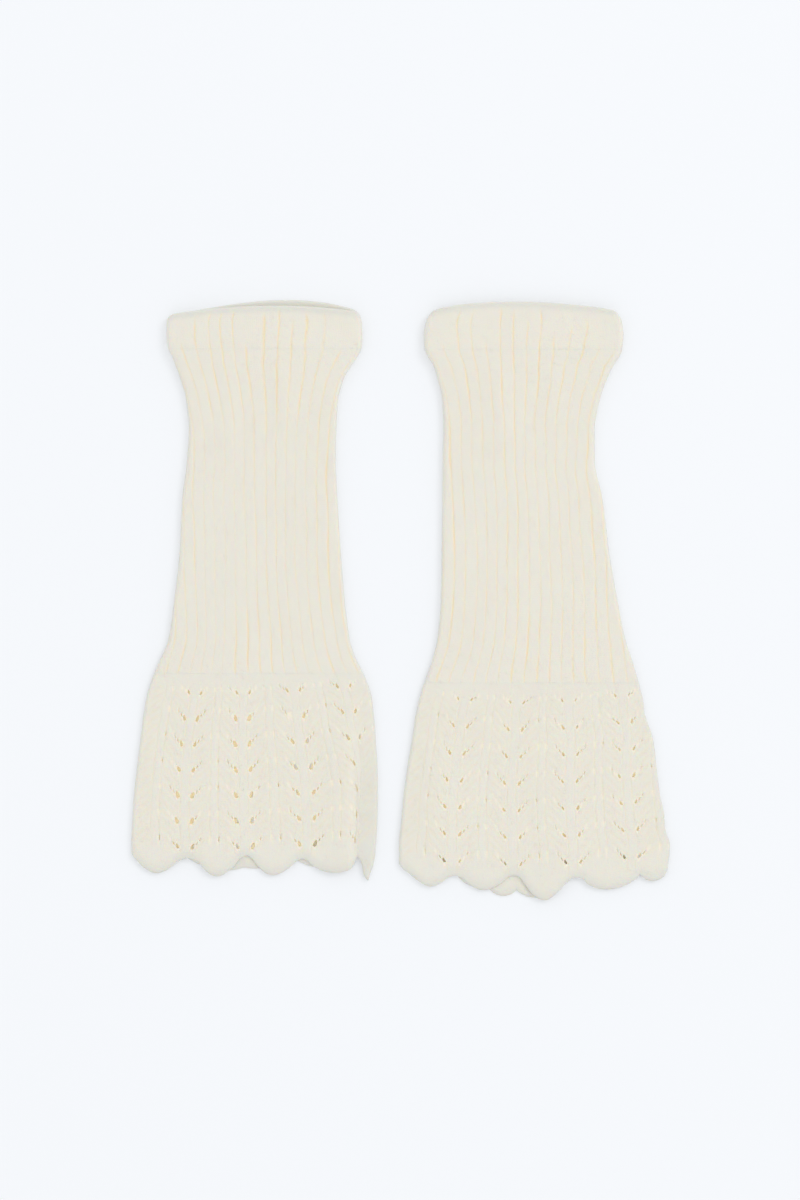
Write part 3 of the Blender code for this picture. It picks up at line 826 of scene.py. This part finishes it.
def lace_mesh(leg):
    """Flare of pointelle lace: a thin wall with an arm of eyelets on each side of each chevron."""
    random = np.random.default_rng(SEED + len(leg.name))
    ribs, rows = lace_columns(), lace_rows()
    row, rib = np.meshgrid(rows, ribs, indexing="ij")
    cells = np.ones((len(rows) - 1, len(ribs)), bool)
    rim = np.zeros(row.shape)
    new_row, new_rib = row.copy(), rib.copy()
    for repeat, side, lace_row in product(range(RIBS // REPEAT), (-1, 1), range(LACE_ROWS)):
        for kind, eyelet in enumerate(EYELETS):
            first = lace_row == 0
            closed = random.random() < eyelet.closed + FIRST_CLOSED * (first and kind > 0)
            size = leg.open * random.uniform(*EYELET_SIZES) * (FIRST_SIZE if first else 1.0)
            slim = random.uniform(*EYELET_SIZES)
            centre = FIRST_POINT + repeat * REPEAT + side * eyelet.off
            middle = lace_row + eyelet.under
            edges = [nearest(ribs, centre + half) for half in (-eyelet.half_wide, eyelet.half_wide)]
            ends = [nearest(rows, middle + half) for half in (-eyelet.half_high, eyelet.half_high)]
            if abs(ribs[edges[1]] - ribs[edges[0]] - 2 * eyelet.half_wide) > 0.01:
                continue
            on_flap = flap_painted_shade(leg, leg.tuck.start + TUCK_FADE, centre + FLAP_CLEAR) > 0.0
            if on_flap and lace_row > LAST_ON_FLAP:
                continue
            if closed:
                inside = (slice(ends[0], ends[1] + 1), slice(edges[0], edges[1] + 1))
                rim[inside] = np.maximum(rim[inside], CLOSED_RIM)
                continue
            cells[ends[0] : ends[1], edges[0] : edges[1]] = False
            near = [slice(max(a - EYELET_NEAR, 0), b + EYELET_NEAR + 1) for a, b in (ends, edges)]
            window = tuple(near)
            x = (rib[window] - centre) / eyelet.half_wide
            y = (row[window] - middle) / eyelet.half_high
            square = np.maximum(np.abs(x), np.abs(y))
            circle = np.maximum(np.hypot(x, y), 1e-6)
            weight = 1.0 - ease(square, 1.0, EYELET_REACH)
            round_off = np.where(square > 0, square / circle, 1.0)
            factor = 1.0 + (round_off * size - 1.0) * weight
            lean = -EYELET_LEAN * side * y * weight if kind < 3 else 0.0
            taper = 1.0 + EYELET_TAPER * np.clip(y, -1, 1) * weight
            moved = x * factor * taper * (1 + (slim - 1) * weight) + lean
            new_rib[window] += (moved - x) * eyelet.half_wide
            new_row[window] += (y * factor - y) * eyelet.half_high
            rim[window] = np.maximum(rim[window], 1.0 - ease(circle, 1.0, RIM_REACH))
    row, rib = new_row, new_rib
    down = lace_down(leg, row, rib)
    hem = lace_down(leg, np.full_like(rib, LACE_ROWS), rib)
    at = drifted(leg, down, rib)
    relief, groove = lace_depth(leg, row, rib, at, down, rim)
    rolled = ease(row, 6.9, 7.0) ** 1.5
    under = slipped_under(down, leg.lace_start - OVERLAP)
    under = under + 0.03 * (1.0 - ease(down, leg.lace_start + 2.0, leg.lace_start + 12.0))
    half = LACE_WALL / 2
    outer_depth = relief + under + RIM_OUTER * rim + (half - 0.1 - relief) * rolled
    inner_depth = LACE_WALL - RIM_INNER * rim - (half - 0.1) * rolled
    outer = place(leg, down, at, outer_depth)
    inner = place(leg, down, at, np.maximum(inner_depth, outer_depth + THINNEST))
    _, front = round_the_tube(leg, down, at)
    sink = HEM_SINK * MM * ease(down - hem, -9.0, 0.0) * front
    outer[..., 2] -= sink
    inner[..., 2] -= sink
    # painted shade on the hem's last millimetres, which curve down away from the light, and at the
    # folded sides
    hem_shade = HEM_PAINTED_SHADE * ease(down - hem, -9.0, -2.0) + HEM_ROLL_PAINTED_SHADE * ease(down - hem, -3.0, 0.0)
    # painted warm light and glow on the inner faces, and round the eyelets' rims on the outer face
    within = (1.0 - ease(row, 6.2, 6.5)) * np.where(front, 0.25, 1.0)
    edge = np.maximum(side_painted_shade(leg, down, at), hem_shade)
    marks = {"groove": (groove, 0 * row), "inside": (0.3 * rim, within), "edge": (edge, hem_shade)}
    wale = np.concatenate([rib, rib[:, :1] + RIBS], axis=1) * WALES
    course = np.concatenate([down, down[:, :1]], axis=1) / COURSE
    stitches = np.stack([wale, course], axis=-1)
    return knit_tube(f"{leg.name}_lace_knit", outer, inner, stitches, marks, cells, [0])


BAND = 0.3  # ribs from a chevron's middle to the grooves beside it
SPINE = 1.72  # and to those between two chevrons
LACE_GROOVE = 0.28  # their depth, in millimetres
LACE_GROOVE_REACH = 0.045  # half of their width, in ribs
VEINS = 3  # in each lace row
VEIN = 0.17  # their depth, in millimetres
VEIN_LIGHT = 0.48  # and their share of a groove's painted warm light


def lace_depth(leg, row, rib, at, down, rim):
    """Depth of the lace's relief, and how much of it is groove, from 0 to 1."""
    off = np.abs((rib - FIRST_POINT + 2) % REPEAT - 2)
    start = ease(down, leg.lace_start, leg.first_row + 4.0)
    end = 1.0 - ease(row, 6.15, 6.5)
    number = np.floor((rib - FIRST_POINT + 2) / REPEAT)
    uneven = 0.75 + 0.25 * noise_along(down, number, 11.0)
    band = bell(off - BAND, LACE_GROOVE_REACH) * start * (1.0 - ease(row, 6.3, 6.7)) * uneven
    spine = bell(off - SPINE, LACE_GROOVE_REACH) * start * end * uneven
    veins = 0.5 + 0.5 * np.cos(2 * math.pi * VEINS * (row - 0.17))
    veins = veins * ease(off, 0.34, 0.5) * (1.0 - ease(off, 1.5, 1.68)) * start * end * (1.0 - rim)
    lines = np.maximum(band, spine)
    groove = np.maximum(lines, VEIN_LIGHT * veins)
    ribs, rib_groove = rib_depth(leg, down, rib, at)
    side = shown(leg, down, at)
    depth = (LACE_GROOVE * lines + VEIN * veins) * side + ribs
    return depth, np.clip(groove * side + rib_groove, 0.0, 1.0)


# Materials


def link(tree, start, end):
    tree.links.new(start, end)


def put(tree, value, socket):
    """Gives a socket a value, or links it to another socket."""
    if isinstance(value, bpy.types.NodeSocket):
        link(tree, value, socket)
    else:
        socket.default_value = value


def set_inputs(node, values):
    for label, value in values.items():
        node.inputs[label].default_value = value


def calculate(tree, kind, *values):
    """Math node on values and sockets, and its result."""
    node = tree.nodes.new("ShaderNodeMath")
    node.operation = kind
    for value, socket in zip(values, node.inputs):
        put(tree, value, socket)
    return node.outputs[0]


def new_group(name, inputs, outputs):
    """Empty shader group with named float inputs and outputs, and its two end nodes."""
    group = bpy.data.node_groups.new(name, "ShaderNodeTree")
    for label, value in inputs:
        socket = group.interface.new_socket(label, in_out="INPUT", socket_type="NodeSocketFloat")
        socket.default_value = value
    for label in outputs:
        group.interface.new_socket(label, in_out="OUTPUT", socket_type="NodeSocketFloat")
    return group, group.nodes.new("NodeGroupInput"), group.nodes.new("NodeGroupOutput")


def stitch_group():
    """Stockinette: each wale is a column of V stitches, one V a course."""
    inputs = [("Slant", 0.62), ("Depth", 1.0)]
    group, given, result = new_group("knit stitches", inputs, ["Height", "Gap"])
    place_on = group.nodes.new("ShaderNodeUVMap")
    place_on.uv_map = "stitches"
    split = group.nodes.new("ShaderNodeSeparateXYZ")
    link(group, place_on.outputs[0], split.inputs[0])
    wale, course = split.outputs[0], split.outputs[1]
    side = calculate(group, "SUBTRACT", calculate(group, "FRACT", wale), 0.5)
    side = calculate(group, "MULTIPLY", calculate(group, "ABSOLUTE", side), 2.0)
    slant = calculate(group, "MULTIPLY", side, given.outputs["Slant"])
    phase = calculate(group, "ADD", course, slant)
    wave = calculate(group, "COSINE", calculate(group, "MULTIPLY", phase, 2 * math.pi))
    wave = calculate(group, "MULTIPLY_ADD", wave, 0.5, 0.5)
    strand = calculate(group, "SINE", calculate(group, "MULTIPLY", side, math.pi))
    strand = calculate(group, "POWER", calculate(group, "MAXIMUM", strand, 0.0), 0.6)
    body = calculate(group, "MULTIPLY_ADD", wave, 0.6, 0.4)
    height = calculate(group, "MULTIPLY", strand, body)
    height = calculate(group, "MULTIPLY", height, given.outputs["Depth"])
    link(group, height, result.inputs["Height"])
    # painted shade between the stitches, where the strands lie low
    gap_shade = calculate(group, "SUBTRACT", 1.0, height)
    link(group, gap_shade, result.inputs["Gap"])
    return group


def fuzz_group():
    """Loose fibres on wool: fine uneven height and a slow change of shade."""
    inputs = [("Fine scale", 900.0), ("Slow scale", 28.0)]
    group, given, result = new_group("wool fuzz", inputs, ["Height", "Shade"])
    coordinates = group.nodes.new("ShaderNodeTexCoord")
    for label, scale, detail in (("Height", "Fine scale", 4.0), ("Shade", "Slow scale", 3.0)):
        noise = group.nodes.new("ShaderNodeTexNoise")
        set_inputs(noise, {"Detail": detail, "Roughness": 0.62})
        link(group, coordinates.outputs["Object"], noise.inputs["Vector"])
        link(group, given.outputs[scale], noise.inputs["Scale"])
        link(group, noise.outputs[0], result.inputs[label])
    return group


CREAM = (0.845, 0.815, 0.725, 1.0)
# darker cream for painted shade between the stitches and for the wool's slow mottle
CREAM_SHADE = (0.80, 0.765, 0.67, 1.0)
# painted warm light in the rib's grooves, where light comes through the yarn
RIB_GROOVE_LIGHT = (0.92, 0.76, 0.50, 1.0)
LACE_CREAM = (0.83, 0.808, 0.722, 1.0)
# painted warm light in the lace's grooves, where light comes through the yarn
LACE_GROOVE_LIGHT = (0.85, 0.75, 0.51, 1.0)
# painted warm light on the inner faces seen through the eyelets, and round their rims
INSIDE_WARM_LIGHT = (0.93, 0.84, 0.65, 1.0)
# painted shade where the cloth turns away from the light: its folded sides, rolled edges, hem and
# crease flap
EDGE_PAINTED_SHADE = (0.70, 0.705, 0.655, 1.0)
FIBRE = (0.86, 0.84, 0.77, 1.0)
INSIDE_GLOW = (0.86, 0.74, 0.48)  # light that comes through the cloth behind the eyelets


def new_material(name):
    """Material, its node tree and its shader."""
    material = bpy.data.materials.new(name)
    material.use_nodes = True
    return material, material.node_tree, material.node_tree.nodes["Principled BSDF"]


def add_bump(tree, shader, height, strength, distance):
    bump = tree.nodes.new("ShaderNodeBump")
    set_inputs(bump, {"Strength": strength, "Distance": distance})
    link(tree, height, bump.inputs["Height"])
    link(tree, bump.outputs[0], shader.inputs["Normal"])


def mix_colour(tree, factor, first, second):
    """Colour between two, each a colour or a socket."""
    node = tree.nodes.new("ShaderNodeMix")
    node.data_type = "RGBA"
    for number, value in ((0, factor), (6, first), (7, second)):
        put(tree, value, node.inputs[number])
    return node.outputs[2]


def wool_material(name, stitches, fuzz, cream, groove_light_colour, groove_light_share, stitch_depth):
    """Cream wool: stitches and fuzz in its bump, painted shade, and painted warm light in its
    grooves and inside.
    """
    material, tree, shader = new_material(name)
    knit = tree.nodes.new("ShaderNodeGroup")
    knit.node_tree = stitches
    set_inputs(knit, {"Depth": stitch_depth})
    nap = tree.nodes.new("ShaderNodeGroup")
    nap.node_tree = fuzz
    marks = {}
    for label in ("groove", "inside", "edge"):
        node = tree.nodes.new("ShaderNodeAttribute")
        node.attribute_name = label
        marks[label] = node.outputs["Fac"]
    # painted shade between the stitches, with the wool's slow mottle
    shade = calculate(tree, "MULTIPLY_ADD", knit.outputs["Gap"], 0.3, -0.05)
    shade = calculate(tree, "MULTIPLY_ADD", nap.outputs["Shade"], 0.6, shade)
    shade = calculate(tree, "SUBTRACT", shade, 0.2)
    colour = mix_colour(tree, shade, cream, CREAM_SHADE)
    # painted shade at the edges, from the edge mark
    colour = mix_colour(tree, marks["edge"], colour, EDGE_PAINTED_SHADE)
    # painted warm light in the grooves, where light comes through the yarn
    groove_light = calculate(tree, "MULTIPLY", marks["groove"], groove_light_share)
    colour = mix_colour(tree, groove_light, colour, groove_light_colour)
    # painted warm light inside, seen through the eyelets
    colour = mix_colour(tree, marks["inside"], colour, INSIDE_WARM_LIGHT)
    link(tree, colour, shader.inputs["Base Color"])
    # painted glow of the inner faces and the eyelets' rims
    glow = mix_colour(tree, marks["inside"], (0.0, 0.0, 0.0, 1.0), (*INSIDE_GLOW, 1.0))
    link(tree, glow, shader.inputs["Emission Color"])
    height = calculate(tree, "MULTIPLY_ADD", nap.outputs["Height"], 0.5, knit.outputs["Height"])
    add_bump(tree, shader, height, 0.35, 0.0003)
    set_inputs(shader, {
        # strength of the painted glow inside
        "Emission Strength": 0.25,
        "Roughness": 0.9,
        "Specular IOR Level": 0.2,
        "Subsurface Weight": 0.4,
        "Subsurface Radius": (1.0, 0.6, 0.3),
        "Subsurface Scale": 0.001,
        "Sheen Weight": 0.35,
        "Sheen Roughness": 0.5,
        "Sheen Tint": (0.86, 0.93, 1.0, 1.0),
    })
    return material


def fibre_material(fuzz):
    """Loose wool fibres, a little paler than the cloth."""
    material, tree, shader = new_material("loose wool")
    nap = tree.nodes.new("ShaderNodeGroup")
    nap.node_tree = fuzz
    colour = mix_colour(tree, nap.outputs["Shade"], FIBRE, CREAM_SHADE)
    link(tree, colour, shader.inputs["Base Color"])
    add_bump(tree, shader, nap.outputs["Height"], 0.2, 0.00005)
    set_inputs(shader, {"Roughness": 0.8, "Sheen Weight": 0.3})
    return material


# Loose fibres


FIBRES = {
    "Number per square metre": 60000.0,
    "Length": 0.003,
    "Thickness": 0.00008,
    "Lowest": 0.004,
}
FIBRE_BEND = ((0.0, 0.0, -0.03), (0.55, 0.3, 0.32), (1.0, 0.0, 0.02))  # shares of its length
FIBRE_SIZES = (0.45, 1.15)
FIBRE_SEEDS = {"cuff": 11, "rib": 12, "lace": 13}


def fibre_tree(material):
    """Geometry Nodes tree that lays short bent fibres on the outside of a cloth."""
    tree = bpy.data.node_groups.new("loose fibres", "GeometryNodeTree")
    tree.interface.new_socket("Cloth", in_out="INPUT", socket_type="NodeSocketGeometry")
    for label, value in FIBRES.items():
        socket = tree.interface.new_socket(label, in_out="INPUT", socket_type="NodeSocketFloat")
        socket.default_value = value
    tree.interface.new_socket("Seed", in_out="INPUT", socket_type="NodeSocketInt")
    tree.interface.new_socket("Fibres", in_out="OUTPUT", socket_type="NodeSocketGeometry")
    given = tree.nodes.new("NodeGroupInput")
    result = tree.nodes.new("NodeGroupOutput")
    join = tree.links.new

    def node(kind, **settings):
        made = tree.nodes.new(kind)
        for label, value in settings.items():
            setattr(made, label, value)
        return made

    def enabled(sockets, label):
        return next(item for item in sockets if item.enabled and item.name == label)

    def random_value(least, most, seed):
        made = node("FunctionNodeRandomValue", data_type="FLOAT")
        enabled(made.inputs, "Min").default_value = least
        enabled(made.inputs, "Max").default_value = most
        join(calculate(tree, "ADD", given.outputs["Seed"], seed), made.inputs["Seed"])
        return enabled(made.outputs, "Value")

    marked = node("GeometryNodeInputNamedAttribute", data_type="FLOAT")
    marked.inputs["Name"].default_value = "inside"
    outside = calculate(tree, "LESS_THAN", enabled(marked.outputs, "Attribute"), 0.1)
    split = node("ShaderNodeSeparateXYZ")
    join(node("GeometryNodeInputPosition").outputs[0], split.inputs[0])
    above = calculate(tree, "GREATER_THAN", split.outputs[2], given.outputs["Lowest"])
    scatter = node("GeometryNodeDistributePointsOnFaces", distribute_method="RANDOM")
    join(given.outputs["Cloth"], scatter.inputs["Mesh"])
    join(calculate(tree, "MULTIPLY", outside, above), scatter.inputs["Selection"])
    join(given.outputs["Number per square metre"], scatter.inputs["Density"])
    join(given.outputs["Seed"], scatter.inputs["Seed"])

    length = given.outputs["Length"]
    ends = []
    for shares in FIBRE_BEND:
        point = node("ShaderNodeCombineXYZ")
        for socket, share in zip(point.inputs, shares):
            join(calculate(tree, "MULTIPLY", length, share), socket)
        ends.append(point.outputs[0])
    bend = node("GeometryNodeCurveQuadraticBezier")
    bend.inputs["Resolution"].default_value = 4
    for label, end in zip(("Start", "Middle", "End"), ends):
        join(end, bend.inputs[label])
    profile = node("GeometryNodeCurvePrimitiveCircle")
    profile.inputs["Resolution"].default_value = 3
    thick = calculate(tree, "MULTIPLY", given.outputs["Thickness"], 0.5)
    join(thick, profile.inputs["Radius"])
    fibre = node("GeometryNodeCurveToMesh")
    fibre.inputs["Fill Caps"].default_value = True
    join(bend.outputs["Curve"], fibre.inputs["Curve"])
    join(profile.outputs["Curve"], fibre.inputs["Profile Curve"])

    spin = node("ShaderNodeCombineXYZ")
    join(random_value(0.0, 2 * math.pi, 1), spin.inputs[2])
    to_rotation = node("FunctionNodeEulerToRotation")
    join(spin.outputs[0], to_rotation.inputs[0])
    turn = node("FunctionNodeRotateRotation", rotation_space="LOCAL")
    join(scatter.outputs["Rotation"], turn.inputs["Rotation"])
    join(to_rotation.outputs[0], turn.inputs["Rotate By"])
    lay = node("GeometryNodeInstanceOnPoints")
    join(scatter.outputs["Points"], lay.inputs["Points"])
    join(fibre.outputs["Mesh"], lay.inputs["Instance"])
    join(turn.outputs[0], lay.inputs["Rotation"])
    join(random_value(*FIBRE_SIZES, 2), lay.inputs["Scale"])
    real = node("GeometryNodeRealizeInstances")
    join(lay.outputs[0], real.inputs[0])
    finish = node("GeometryNodeSetMaterial")
    finish.inputs["Material"].default_value = material
    join(real.outputs[0], finish.inputs["Geometry"])
    join(finish.outputs[0], result.inputs["Fibres"])
    return tree


def add_fibres(cloth, tree, slot):
    """Loose fibres on a stretch of cloth, as a plain mesh of their own."""
    host = add_object("host", cloth.data)
    modifier = host.modifiers.new("loose fibres", "NODES")
    modifier.node_group = tree
    for item in tree.interface.items_tree:
        if item.name == "Seed":
            modifier[item.identifier] = FIBRE_SEEDS[slot]
    depsgraph = bpy.context.evaluated_depsgraph_get()
    mesh = bpy.data.meshes.new_from_object(host.evaluated_get(depsgraph), depsgraph=depsgraph)
    host.modifiers.remove(modifier)
    bpy.data.objects.remove(host)
    mesh.name = cloth.name.replace("knit", "fibres")
    fibres = add_object(mesh.name, mesh)
    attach(fibres, "root")


# Floor, light and camera


def studio():
    """Plain pale floor, soft light from the upper right, and a camera straight above."""
    half, low = 6.0, -0.00005  # just under the cloth, so that no two faces meet
    mesh = bpy.data.meshes.new("floor")
    corners = [(-half, -half, low), (half, -half, low), (half, half, low), (-half, half, low)]
    mesh.from_pydata(corners, [], [(0, 1, 2, 3)])
    floor = add_object("floor", mesh)
    paper, _, shader = new_material("paper")
    set_inputs(shader, {
        "Base Color": (0.67, 0.685, 0.705, 1.0),
        "Emission Color": (0.985, 0.99, 1.0, 1.0),
        "Emission Strength": 0.255,
        "Roughness": 0.95,
        "Specular IOR Level": 0.1,
    })
    mesh.materials.append(paper)

    world = bpy.data.worlds.new("studio")
    world.use_nodes = True
    sky = world.node_tree.nodes["Background"]
    set_inputs(sky, {"Color": (0.975, 0.985, 1.0, 1.0), "Strength": 0.935})
    bpy.context.scene.world = world

    lamp = bpy.data.lights.new("softbox", "AREA")
    lamp.shape = "DISK"
    lamp.size = 2.6
    lamp.energy = 50.0
    lamp.color = (1.0, 0.985, 0.96)
    box = add_object("softbox", lamp)
    box.location = (3.5, 2.5, 4.2)
    aim = -box.location
    box.rotation_euler = aim.to_track_quat("-Z", "Y").to_euler()

    high, frame_high = 2.2, 0.84
    view = bpy.data.cameras.new("above")
    view.sensor_fit = "VERTICAL"
    view.sensor_height = 24.0
    view.lens = view.sensor_height * high / frame_high
    view.clip_end = 20.0
    camera = add_object("above", view)
    camera.location = (0.0, 0.0, high)
    bpy.context.scene.camera = camera
    bpy.context.scene.view_settings.view_transform = "Standard"


def main():
    stitches, fuzz = stitch_group(), fuzz_group()
    ribbed = wool_material("ribbed wool", stitches, fuzz, CREAM, RIB_GROOVE_LIGHT, 0.8, 1.0)
    laced = wool_material("lace wool", stitches, fuzz, LACE_CREAM, LACE_GROOVE_LIGHT, 0.4, 0.9)
    fibres = fibre_tree(fibre_material(fuzz))
    for leg in (LEFT, RIGHT):
        cuff = piece(cuff_mesh(leg), ribbed, [f"{leg.name}_cuff"])
        rib = piece(leg_mesh(leg), ribbed, [f"{leg.name}_rib_leg"])
        nodes = [f"{leg.name}_lace_front", f"{leg.name}_lace_back"]
        lace = piece(lace_mesh(leg), laced, nodes)
        for cloth, slot in ((cuff, "cuff"), (rib, "rib"), (lace, "lace")):
            add_fibres(cloth, fibres, slot)
    studio()


main()
